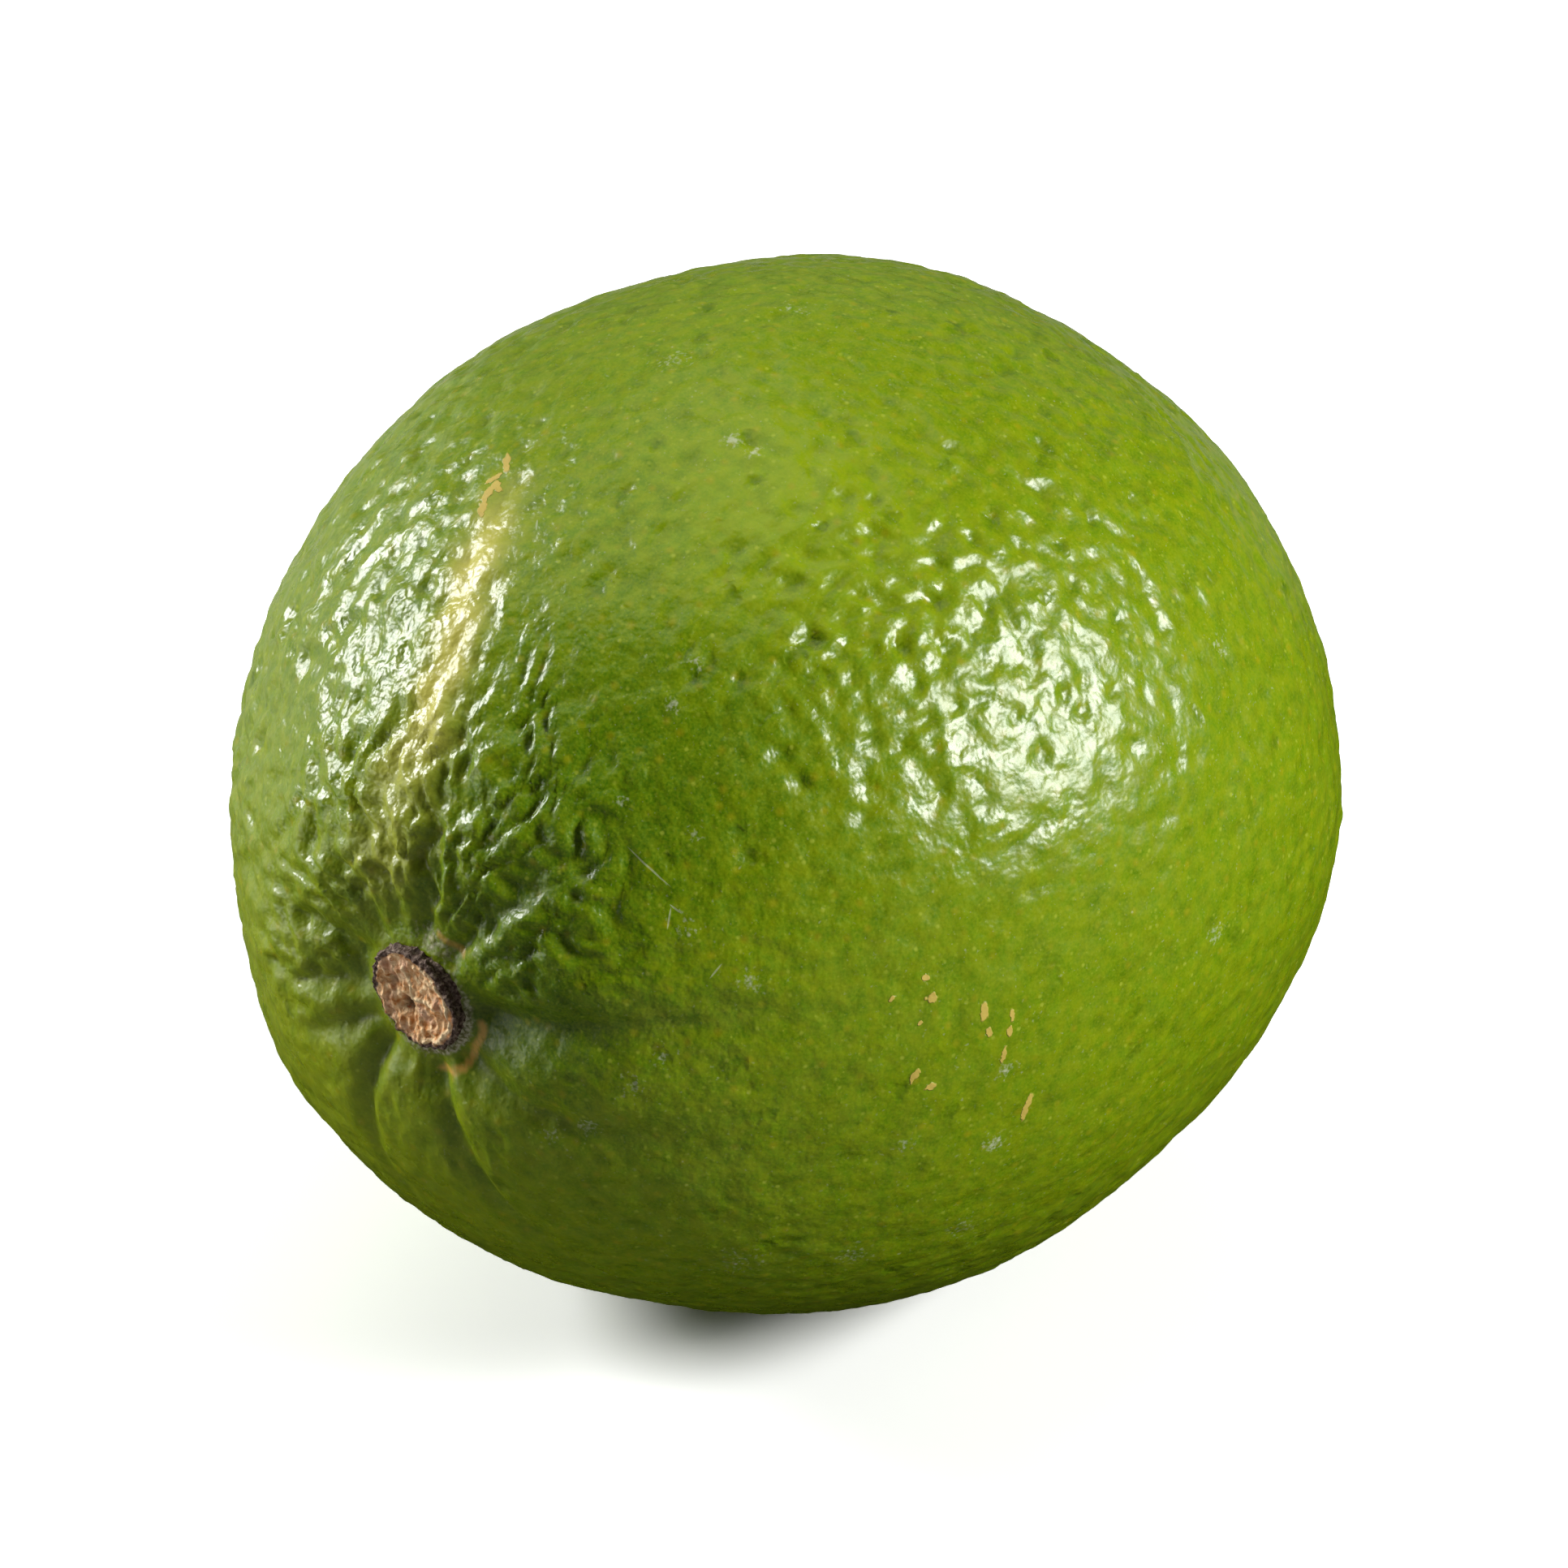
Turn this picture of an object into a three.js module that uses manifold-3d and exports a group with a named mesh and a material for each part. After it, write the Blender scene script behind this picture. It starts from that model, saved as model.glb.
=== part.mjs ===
// A whole lime lying on its side on a table: the fruit, and the dry stub of its stalk in the stem hollow.
// Millimetres and degrees, +Z up. The stem end points towards -X and the fruit rests on a small flat spot.
//
// The fruit has a frame of its own. Its axis is +Y, out through the stem end, and its top is +Z.
// A place on its skin is given by two angles: fromStem, from the middle of the stem end (0) to the
// blossom end (180), and round, clockwise from the top for someone who faces the stem end.
import * as THREE from 'three';
import { mergeVertices } from 'three/addons/utils/BufferGeometryUtils.js';
import Module from 'manifold-3d';

// ---- driving dimensions ----

const HALF_LENGTH = 28.2;         // of the smooth ovoid, from its middle to either end
const HALF_WIDTH = 25;            // so the lime is 50 mm across
const STEM_FULLNESS = 0.051;      // share by which the stem half swells out at its end
const BLOSSOM_FULLNESS = 0.013;   // share by which the whole blossom half is longer
const AXIS_RISE = 3.2;            // how far the stem end is tipped up from level, in degrees

const REST_CUT = 0.6;             // height of skin pressed flat where the lime rests

const HOLLOW_DEPTH = 1.35;        // how far the middle of the stem end is sunken
const HOLLOW_REACH = 4.6;         // distance from its middle at which the hollow has mostly ended
const HOLLOW_TILT = 0.2;          // its edge is this much lower on the side the stub leans to
const TILT_RADIUS = 2.6;          // distance from its middle where it is tilted most
const TILT_WIDTH = 1.3;           // half width of the tilted ring
const SHOULDER_HEIGHT = 0.35;     // the full rim of skin that stands around the hollow
const SHOULDER_RADIUS = 8;        // radius of that rim
const SHOULDER_WIDTH = 4;         // and its half width

const NIPPLE_HEIGHT = 1.8;        // the low teat at the blossom end
const NIPPLE_REACH = 4.8;         // its half width at the foot
const NIPPLE_GROOVE = 0.4;        // depth of the ring sunk around the teat
const GROOVE_RADIUS = 7.5;        // radius of that ring
const GROOVE_WIDTH = 2.2;         // and its half width

const BUTTON_RADIUS = 2.55;       // the stalk stub over its bark
const BUTTON_FACE_RADIUS = 2.4;   // the bare wood on top of it
const BUTTON_PROUD = 0.5;         // how far it stands out of the hollow
const BUTTON_SEAT = 1.1;          // how deep it is seated below the skin
const BUTTON_DISH = 0.2;          // how far the broken wood dips in its middle
const BUTTON_LEAN = 11;           // the stub leans this much from the fruit's axis
const BUTTON_LEAN_ROUND = 215;    // towards this side
const FIT_GAP = 0.3;              // clear space between the stub and its socket

// Gentle swellings (+) and hollows (-) that make a grown fruit less than perfect.
const SWELLINGS = [
  { fromStem: 119, round: 94, height: 0.42, spread: 20 },
  { fromStem: 125, round: 18, height: -0.38, spread: 24 },
  { fromStem: 100, round: 337, height: -0.28, spread: 16 },
  { fromStem: 68, round: 311, height: 0.36, spread: 20 },
  { fromStem: 33, round: 231, height: 0.26, spread: 9 },
  { fromStem: 37, round: 256, height: -0.22, spread: 10 },
  { fromStem: 51, round: 168, height: -0.42, spread: 20 },
  { fromStem: 97, round: 126, height: -0.22, spread: 16 },
];

// Folds in the shoulder that run out from the stalk and bend a little on their way. near and far are
// the angles round of a fold's middle line beside the stalk and FOLD_TURNED away from it. before and
// after are its half widths towards smaller and larger angles. reach is where it has mostly ended.
const FOLDS = [
  { near: 7, far: 5, depth: 0.60, before: 0.7, after: 0.5, reach: 6 },
  { near: 37, far: 42, depth: 0.60, before: 1.0, after: 0.5, reach: 7 },
  { near: 86, far: 84, depth: 1.10, before: 1.0, after: 1.7, reach: 9 },
  { near: 128, far: 116, depth: 0.75, before: 1.0, after: 1.1, reach: 8 },
  { near: 162, far: 160, depth: 0.65, before: 0.5, after: 0.9, reach: 9 },
  { near: 212, far: 199, depth: 0.65, before: 0.5, after: 0.5, reach: 7 },
  { near: 236, far: 242, depth: 0.50, before: 0.6, after: 0.6, reach: 3 },
  { near: 262, far: 258, depth: 0.55, before: 1.0, after: 0.6, reach: 4 },
  { near: 288, far: 285, depth: 0.75, before: 1.1, after: 1.1, reach: 5 },
  { near: 322, far: 317, depth: 0.40, before: 0.7, after: 0.6, reach: 5 },
  { near: 343, far: 344, depth: 0.32, before: 0.6, after: 0.6, reach: 5 },
];
const FOLD_START = 2.2;           // distance from the stem end's middle where the folds begin
const FOLD_FULL = 4.0;            // where they have their whole depth, and start to bend
const FOLD_TURNED = 10;           // where they have reached their far angle
const FOLD_TURN_MOST = 1.5;       // they bend on until this many times the turn from near to far
const FOLD_FALL = 1.6;            // 2 rounds a fold's bottom like a bell, less makes it a crease

// ---- fineness of the meshes ----

const MERIDIANS = 72;             // faces around the fruit
const RINGS = 46;                 // rings of faces from end to end
const END_CROWDING = 0.6;         // 0 spaces the rings evenly, 1 crowds them fully at both ends
const BUTTON_SIDES = 40;          // faces around the stub

const degrees = THREE.MathUtils.degToRad;
const wasm = await Module();
wasm.setup();

// ---- the fruit's form ----

// Angle between two places on the skin, each given as a unit direction.
function angleBetween(a, b) {
  return Math.acos(THREE.MathUtils.clamp(a.dot(b), -1, 1));
}

// Unit direction, in the fruit's own frame, of a place on its skin.
function direction(fromStem, round) {
  const out = Math.sin(fromStem);
  return new THREE.Vector3(-out * Math.sin(round), Math.cos(fromStem), out * Math.cos(round));
}

// Distance from the middle to the smooth ovoid, before any detail.
function ovoidRadius(fromStem) {
  const along = Math.cos(fromStem);
  const across = Math.sin(fromStem);
  const ellipse = 1 / Math.hypot(along / HALF_LENGTH, across / HALF_WIDTH);
  return ellipse * (1 - BLOSSOM_FULLNESS * along + STEM_FULLNESS * along ** 3);
}

// A smooth hump of height 1 that has mostly ended at the given reach.
function hump(distance, reach) {
  return Math.exp(-((distance / reach) ** 2));
}

function swellingHeight(place) {
  let height = 0;
  for (const swelling of SWELLINGS) {
    const middle = direction(degrees(swelling.fromStem), degrees(swelling.round));
    height += swelling.height * hump(angleBetween(place, middle), degrees(swelling.spread));
  }
  return height;
}

// Depth of the stem end's folds. distance is measured on the skin from the stalk.
function foldDepth(distance, round) {
  const begun = THREE.MathUtils.smoothstep(distance, FOLD_START, FOLD_FULL);
  const outward = (distance - FOLD_FULL) / (FOLD_TURNED - FOLD_FULL);
  const turned = THREE.MathUtils.clamp(outward, 0, FOLD_TURN_MOST);
  let depth = 0;
  for (const fold of FOLDS) {
    const middle = degrees(fold.near + (fold.far - fold.near) * turned);
    const aside = 2 * distance * Math.sin(0.5 * (round - middle));
    const across = Math.abs(aside) / (aside < 0 ? fold.before : fold.after);
    const fade = hump(Math.max(distance - FOLD_FULL, 0), fold.reach);
    depth += fold.depth * begun * fade * Math.exp(-(across ** FOLD_FALL));
  }
  return depth;
}

// The sunken stem end with its full shoulder and its folds.
function stemEndHeight(distance, round) {
  const downhill = Math.cos(round - degrees(BUTTON_LEAN_ROUND));
  const tilt = HOLLOW_TILT * downhill * hump(distance - TILT_RADIUS, TILT_WIDTH);
  const hollow = HOLLOW_DEPTH * hump(distance, HOLLOW_REACH) + tilt;
  const shoulder = SHOULDER_HEIGHT * hump(distance - SHOULDER_RADIUS, SHOULDER_WIDTH);
  return shoulder - hollow - foldDepth(distance, round);
}

function blossomEndHeight(distance) {
  const teat = NIPPLE_HEIGHT * hump(distance, NIPPLE_REACH);
  return teat - NIPPLE_GROOVE * hump(distance - GROOVE_RADIUS, GROOVE_WIDTH);
}

// A point on the skin, in the fruit's own frame.
function skinPoint(fromStem, round) {
  const place = direction(fromStem, round);
  const smooth = ovoidRadius(fromStem);
  const stemEnd = stemEndHeight(smooth * fromStem, round);
  const blossomEnd = blossomEndHeight(smooth * (Math.PI - fromStem));
  return place.clone().multiplyScalar(smooth + swellingHeight(place) + stemEnd + blossomEnd);
}

// ---- geometry helpers ----

// Leaves only positions and joins the vertices that share a place, so that the mesh is closed.
function weld(geometry) {
  geometry.deleteAttribute('normal');
  geometry.deleteAttribute('uv');
  return mergeVertices(geometry);
}

function toSolid(geometry) {
  const vertProperties = new Float32Array(geometry.getAttribute('position').array);
  const triVerts = new Uint32Array(geometry.getIndex().array);
  return new wasm.Manifold(new wasm.Mesh({ numProp: 3, vertProperties, triVerts }));
}

function toGeometry(solid) {
  const mesh = solid.getMesh();
  const geometry = new THREE.BufferGeometry();
  geometry.setAttribute('position', new THREE.BufferAttribute(mesh.vertProperties, 3));
  geometry.setIndex(new THREE.BufferAttribute(mesh.triVerts, 1));
  geometry.computeVertexNormals();
  return geometry;
}

// ---- how the fruit lies ----

// Turns the fruit's own frame into the part's: stem end towards -X and tipped up, its top still up.
function lyingTurn() {
  const rise = degrees(AXIS_RISE);
  const side = new THREE.Vector3(0, 1, 0);
  const stem = new THREE.Vector3(-Math.cos(rise), 0, Math.sin(rise));
  const top = new THREE.Vector3(Math.sin(rise), 0, Math.cos(rise));
  return new THREE.Matrix4().makeBasis(side, stem, top);
}

// Where the stub sits in the fruit's own frame: its +Y leans away from the fruit's axis,
// and its origin is the middle of its foot.
function buttonSeat() {
  const hollowFloor = ovoidRadius(0) - HOLLOW_DEPTH;
  const lean = direction(degrees(BUTTON_LEAN), degrees(BUTTON_LEAN_ROUND));
  const turn = new THREE.Quaternion().setFromUnitVectors(new THREE.Vector3(0, 1, 0), lean);
  const foot = new THREE.Vector3(0, hollowFloor, 0).addScaledVector(lean, -BUTTON_SEAT);
  return new THREE.Matrix4().compose(foot, turn, new THREE.Vector3(1, 1, 1));
}

// ---- sub-parts ----

// The bare skin as a closed mesh, with its rings crowded where the ends have their detail.
function skinGeometry() {
  const geometry = weld(new THREE.SphereGeometry(1, MERIDIANS, RINGS));
  const points = geometry.getAttribute('position');
  for (let i = 0; i < points.count; i += 1) {
    const share = Math.acos(THREE.MathUtils.clamp(points.getY(i), -1, 1)) / Math.PI;
    const crowded = share - (END_CROWDING * Math.sin(2 * Math.PI * share)) / (2 * Math.PI);
    const round = Math.atan2(-points.getX(i), points.getZ(i));
    const place = skinPoint(Math.PI * crowded, round);
    points.setXYZ(i, place.x, place.y, place.z);
  }
  return geometry;
}

// What the stub's socket takes out of the fruit: the stub's seat with the fit gap around it.
function socketGeometry() {
  const height = 2 * BUTTON_SEAT + HOLLOW_DEPTH + BUTTON_PROUD;
  const geometry = new THREE.CylinderGeometry(
    BUTTON_RADIUS + FIT_GAP, BUTTON_RADIUS + FIT_GAP, height, BUTTON_SIDES);
  geometry.translate(0, height / 2 - FIT_GAP, 0);
  return weld(geometry);
}

function makeFruit(material) {
  const skin = skinGeometry().applyMatrix4(lyingTurn());
  skin.computeBoundingBox();
  const size = skin.boundingBox.getSize(new THREE.Vector3());
  const floor = new THREE.BoxGeometry(2 * size.x, 2 * size.y, size.z);
  floor.translate(0, 0, skin.boundingBox.min.z + REST_CUT - size.z / 2);
  const socket = socketGeometry().applyMatrix4(lyingTurn().multiply(buttonSeat()));
  const solid = toSolid(skin).subtract(toSolid(weld(floor))).subtract(toSolid(socket));
  const fruit = new THREE.Mesh(toGeometry(solid), material);
  fruit.name = 'fruit';
  return fruit;
}

// The stub's side, from the middle of its foot out and up over the bark to the dished wood.
function makeStemButton(material) {
  const height = BUTTON_SEAT + BUTTON_PROUD;
  const barkEdge = (BUTTON_RADIUS + BUTTON_FACE_RADIUS) / 2;
  const profile = [
    new THREE.Vector2(0, 0),
    new THREE.Vector2(BUTTON_FACE_RADIUS, 0),
    new THREE.Vector2(BUTTON_RADIUS, 0.25 * height),
    new THREE.Vector2(BUTTON_RADIUS, 0.6 * height),
    new THREE.Vector2(barkEdge + 0.1, 0.85 * height),
    new THREE.Vector2(barkEdge, 0.97 * height),
    new THREE.Vector2(BUTTON_FACE_RADIUS, height),
    new THREE.Vector2(0.75 * BUTTON_FACE_RADIUS, height - 0.6 * BUTTON_DISH),
    new THREE.Vector2(0.4 * BUTTON_FACE_RADIUS, height - BUTTON_DISH),
    new THREE.Vector2(0, height - BUTTON_DISH),
  ];
  const solid = toSolid(weld(new THREE.LatheGeometry(profile, BUTTON_SIDES)));
  const button = new THREE.Mesh(toGeometry(solid), material);
  button.name = 'stem_button';
  lyingTurn().multiply(buttonSeat()).decompose(button.position, button.quaternion, button.scale);
  return button;
}

// ---- materials ----

function peel() {
  return new THREE.MeshStandardMaterial({ color: '#6b8c0d', roughness: 0.35, metalness: 0 });
}

function dryWood() {
  return new THREE.MeshStandardMaterial({ color: '#8a6446', roughness: 0.85, metalness: 0 });
}

// ---- the lime, with the middle of its underside at the origin ----

const lime = new THREE.Group();
lime.add(makeFruit(peel()), makeStemButton(dryWood()));

const box = new THREE.Box3().setFromObject(lime, true);
const middle = box.getCenter(new THREE.Vector3());
for (const piece of lime.children) {
  piece.position.sub(new THREE.Vector3(middle.x, middle.y, box.min.z));
}

export default lime;
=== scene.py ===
"""A whole lime at rest on a pale table: its waxed green peel, and the dry stub of stalk in its stem end.

Lengths are millimetres until a mesh is made. A place on the skin is given by two angles in degrees:
from_stem, from the middle of the stem end to the blossom end, and around, clockwise from the top for
someone who faces the stem end. The same two angles are used in the source of the frame's solids.
"""
import math

import bpy
import numpy as np
from mathutils import Matrix, Vector, kdtree, noise


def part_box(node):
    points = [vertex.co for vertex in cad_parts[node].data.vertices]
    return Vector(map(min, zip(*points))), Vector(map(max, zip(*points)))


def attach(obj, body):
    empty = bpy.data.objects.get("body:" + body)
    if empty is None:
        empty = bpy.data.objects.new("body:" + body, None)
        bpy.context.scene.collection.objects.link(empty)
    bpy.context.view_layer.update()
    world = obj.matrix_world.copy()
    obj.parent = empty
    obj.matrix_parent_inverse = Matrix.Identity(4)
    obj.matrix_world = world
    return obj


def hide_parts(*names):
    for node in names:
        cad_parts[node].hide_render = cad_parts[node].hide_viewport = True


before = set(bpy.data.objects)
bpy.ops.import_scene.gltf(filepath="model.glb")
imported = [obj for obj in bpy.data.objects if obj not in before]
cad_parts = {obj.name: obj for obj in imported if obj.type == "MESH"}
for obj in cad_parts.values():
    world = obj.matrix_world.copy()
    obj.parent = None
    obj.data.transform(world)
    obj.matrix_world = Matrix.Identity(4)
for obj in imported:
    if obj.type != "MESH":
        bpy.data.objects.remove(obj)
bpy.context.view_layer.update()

MM = 0.001
SEED = 11

# ---- the smooth form, as the frame's fruit has it ----

HALF_LENGTH = 28.2
HALF_WIDTH = 25.0
STEM_FULLNESS = 0.051
BLOSSOM_FULLNESS = 0.013
AXIS_RISE = math.radians(3.2)

HOLLOW_DEPTH, HOLLOW_REACH = 1.35, 4.6
HOLLOW_TILT, HOLLOW_TILT_RADIUS, HOLLOW_TILT_WIDTH = 0.2, 2.6, 1.3
STUB_LEAN, STUB_LEAN_AROUND = 11, 215       # the hollow is tilted the way that the stub leans
SHOULDER_HEIGHT, SHOULDER_RADIUS, SHOULDER_WIDTH = 0.35, 8.0, 4.0
NIPPLE_HEIGHT, NIPPLE_REACH = 1.8, 4.8
GROOVE_DEPTH, GROOVE_RADIUS, GROOVE_WIDTH = 0.4, 7.5, 2.2

# Gentle swellings: from_stem, around, height, spread in degrees.
SWELLINGS = [
    (119, 94, 0.42, 20),
    (125, 18, -0.38, 24),
    (100, 337, -0.28, 16),
    (68, 311, 0.36, 20),
    (33, 231, 0.26, 9),
    (37, 256, -0.22, 10),
    (51, 168, -0.42, 20),
    (97, 126, -0.22, 16),
]

# Folds of the stem end: around beside the stalk, around further out, depth, half width on the side
# of the smaller and of the larger angle, reach.
FOLDS = [
    (7, 5, 0.60, 0.7, 0.5, 6),
    (37, 42, 0.60, 1.0, 0.5, 7),
    (86, 84, 1.10, 1.0, 1.7, 9),
    (128, 116, 0.75, 1.0, 1.1, 8),
    (162, 160, 0.65, 0.5, 0.9, 9),
    (212, 199, 0.65, 0.5, 0.5, 7),
    (236, 242, 0.50, 0.6, 0.6, 3),
    (262, 258, 0.55, 1.0, 0.6, 4),
    (288, 285, 0.75, 1.1, 1.1, 5),
    (322, 317, 0.40, 0.7, 0.6, 5),
    (343, 344, 0.32, 0.6, 0.6, 5),
]
FOLD_START, FOLD_FULL = 2.2, 4.0
FOLD_TURNED = 10.0          # the distance at which a fold has reached its second angle
FOLD_TURN_MOST = 1.5        # beyond that it goes on turning, up to this share
FOLD_FALL = 1.6             # how abruptly a fold's sides rise

STEM = np.array([-math.cos(AXIS_RISE), 0.0, math.sin(AXIS_RISE)])
TOP = np.array([math.sin(AXIS_RISE), 0.0, math.cos(AXIS_RISE)])
SIDE = np.array([0.0, -1.0, 0.0])


def hump(distance, reach):
    """1 at no distance, falling smoothly to almost nothing at twice the reach."""
    return np.exp(-((distance / reach) ** 2))


def smooth_step(low, high, value):
    """0 below low, 1 above high, and smooth in between."""
    share = np.clip((value - low) / (high - low), 0, 1)
    return share * share * (3 - 2 * share)


def direction(from_stem, around):
    """Unit directions of places on the skin; both angles in radians."""
    out = np.sin(from_stem)
    parts = (np.cos(from_stem), out * np.cos(around), out * np.sin(around))
    return sum(np.multiply.outer(part, axis) for part, axis in zip(parts, (STEM, TOP, SIDE)))


def degrees_off(directions, from_stem, around):
    """Degrees between directions and one place on the skin, which is given in degrees too."""
    middle = direction(math.radians(from_stem), math.radians(around))
    return np.degrees(np.arccos(np.clip(directions @ middle, -1, 1)))


def patches(directions, places):
    """The sum of soft round patches. Each has from_stem, around, strength and spread in degrees."""
    total = 0
    for from_stem, around, strength, spread in places:
        total = total + strength * hump(degrees_off(directions, from_stem, around), spread)
    return total


def ovoid_radius(from_stem):
    """From the fruit's middle to its smooth skin."""
    along, across = np.cos(from_stem), np.sin(from_stem)
    ellipse = 1 / np.hypot(along / HALF_LENGTH, across / HALF_WIDTH)
    return ellipse * (1 - BLOSSOM_FULLNESS * along + STEM_FULLNESS * along**3)


def fold_depths(distance, around):
    """Depth of the stem end's folds at a distance from the stalk along the skin."""
    depth = 0
    begun = smooth_step(FOLD_START, FOLD_FULL, distance)
    outward = np.clip((distance - FOLD_FULL) / (FOLD_TURNED - FOLD_FULL), 0, FOLD_TURN_MOST)
    for near, far, deep, before, after, reach in FOLDS:
        middle = np.radians(near + (far - near) * outward)
        aside = 2 * distance * np.sin((around - middle) / 2)
        across = np.abs(aside) / np.where(aside < 0, before, after)
        fade = hump(np.maximum(distance - FOLD_FULL, 0), reach)
        depth = depth + deep * begun * fade * np.exp(-across**FOLD_FALL)
    return depth


def form_height(from_stem, around):
    """How far the skin stands off the smooth ovoid, without the peel's fine relief."""
    smooth = ovoid_radius(from_stem)
    from_stalk, from_tip = smooth * from_stem, smooth * (math.pi - from_stem)
    height = patches(direction(from_stem, around), SWELLINGS)
    height -= HOLLOW_DEPTH * hump(from_stalk, HOLLOW_REACH)
    downhill = np.cos(around - math.radians(STUB_LEAN_AROUND))
    height -= HOLLOW_TILT * downhill * hump(from_stalk - HOLLOW_TILT_RADIUS, HOLLOW_TILT_WIDTH)
    height += SHOULDER_HEIGHT * hump(from_stalk - SHOULDER_RADIUS, SHOULDER_WIDTH)
    height -= fold_depths(from_stalk, around)
    height += NIPPLE_HEIGHT * hump(from_tip, NIPPLE_REACH)
    height -= GROOVE_DEPTH * hump(from_tip - GROOVE_RADIUS, GROOVE_WIDTH)
    return height


def fruit_middle():
    """Where the fruit's middle is in the frame, so that its form fills the CAD fruit's box."""
    low, high = (np.array(corner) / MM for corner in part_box("fruit"))
    from_stem, around = np.meshgrid(np.radians(np.arange(0, 180.1, 0.5)), np.radians(np.arange(0, 360, 1)))
    radius = ovoid_radius(from_stem) + form_height(from_stem, around)
    reach = (direction(from_stem, around) * radius[..., None]).reshape(-1, 3)
    return np.array([high[0] - reach[:, 0].max(), (low[1] + high[1]) / 2, high[2] - reach[:, 2].max()])


# ---- the peel's fine relief ----

GLAND_SPACING = 1.25
GLAND_ROOM = 0.87           # the area that an evenly placed gland takes up, in spacings squared
GLAND_STRAY = 0.25          # how far a gland lies off its even place, as a share of the spacing
GLANDS_NEAR = 4             # how many glands can reach one point of the skin
PIT_DEPTH = 0.20
PIT_STRENGTH = (0.2, 1)     # before it is cubed, which leaves few deep pits
PIT_RADIUS = (0.3, 0.42)
PIT_LENGTH = 1.6            # a pit is this many times as long as wide
PIT_RAGGED, RAGGED_SIZE = 0.9, 0.5
DRAWN_FROM, DRAWN_SPREAD = 8, 22                    # degrees from the stem end where pits are drawn out
DRAWN_LONGER, DRAWN_SHALLOWER = 0.7, 0.6
DRAWN_STRAIGHT = 4          # how closely they then keep to the line to the stalk

COBBLE_SIZE, COBBLE_DEPTH = 0.8, 0.13
COBBLE_TOPS = 0.7           # the bumps rise by this share of what the dents between them sink
GRAIN_SIZE, GRAIN_DEPTH = 0.5, 0.035
RIPPLE_SIZE, RIPPLE_DEPTH = 2.0, 0.08
SWELL_SIZE, SWELL_DEPTH = 6, 0.14

# Where the relief stands out more or less than elsewhere: from_stem, around, strength, spread in degrees.
RELIEF_EVERYWHERE = 0.8
RELIEF_MORE = [(70, 46, 0.6, 15), (65, 51, -0.45, 8), (54, 40, 1.1, 13), (92, 24, 0.5, 20),
               (45, 318, 0.6, 20), (33, 280, 1.0, 16), (58, 100, -0.4, 28)]

# The shoulder with the scar is lumpier than the rest of the fruit.
LUMPY_SHOULDER = [(42, 325, 1, 19)]
LUMP_SIZE, LUMP_DEPTH = 2.0, 0.24
CRUMPLE_SIZE, CRUMPLE_DEPTH = 0.6, 0.06

# The wrinkled field round the stalk. Its upper middle is at one angle around, it reaches further out at
# two others, and below the stalk little is left of it.
WRINKLES_UPPER, WRINKLES_BELOW = 342, 0.35
WRINKLES_SIDES = (80, 105)  # degrees from the upper middle over which the field ends
WRINKLES_END = 13
WRINKLES_FADE = 0.6         # the share of its reach where it begins to fade
WRINKLES_FURTHER = [(18, 7, 35), (325, 3, 25)]      # around, how much further, spread in degrees
WRINKLES_BEGIN, WRINKLES_FULL = 3.2, 6.0
WRINKLES_HIDE = 0.75        # how much of the other relief is gone where the skin is wrinkled
WRINKLE_DEPTH = 0.5
WRINKLE_TOPS_FROM, WRINKLE_TOPS = 0.2, 0.6          # what is above this height is flattened to this share
WRINKLE_WANDER, WANDER_SIZE = 0.12, 2.5
ROWS_AROUND, ROWS_SPREAD = 5.0, 0.6                 # the rows spread less than the skin does further out
ROW_SHARE, RIB_SHARE = 0.8, 0.55
RIBS_AROUND, RIB_LENGTH = 9, 1.5

SKIN_BEGINS, SKIN_FULL = 2.3, 3.4                   # the relief ends beside the stub


def unevenness(points, size):
    """Smooth noise from about -0.5 to 0.5 whose bumps are about `size` apart. Where a number is added to
    the points, it picks another part of the noise."""
    return np.array([noise.noise(p) for p in (points / size).tolist()])


def wrap(angle):
    """The same angle between -pi and pi."""
    return (angle + math.pi) % (2 * math.pi) - math.pi


def around_off(around, degrees):
    """Signed degrees from one angle around to others, which are in radians."""
    return np.degrees(wrap(around - math.radians(degrees)))


def gland_places():
    """Unit directions of the peel's oil glands, about evenly spaced over the whole skin."""
    rng = np.random.default_rng(SEED)
    count = int(4 * math.pi * (HALF_WIDTH + 1) ** 2 / (GLAND_SPACING**2 * GLAND_ROOM))
    turn = np.arange(count) * math.pi * (3 - math.sqrt(5))
    height = 1 - 2 * (np.arange(count) + 0.5) / count
    ring = np.sqrt(1 - height**2)
    even = np.stack([ring * np.cos(turn), ring * np.sin(turn), height], 1)
    loose = even + rng.normal(0, GLAND_STRAY * GLAND_SPACING / HALF_WIDTH, even.shape)
    return loose / np.linalg.norm(loose, axis=1, keepdims=True), rng


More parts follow.
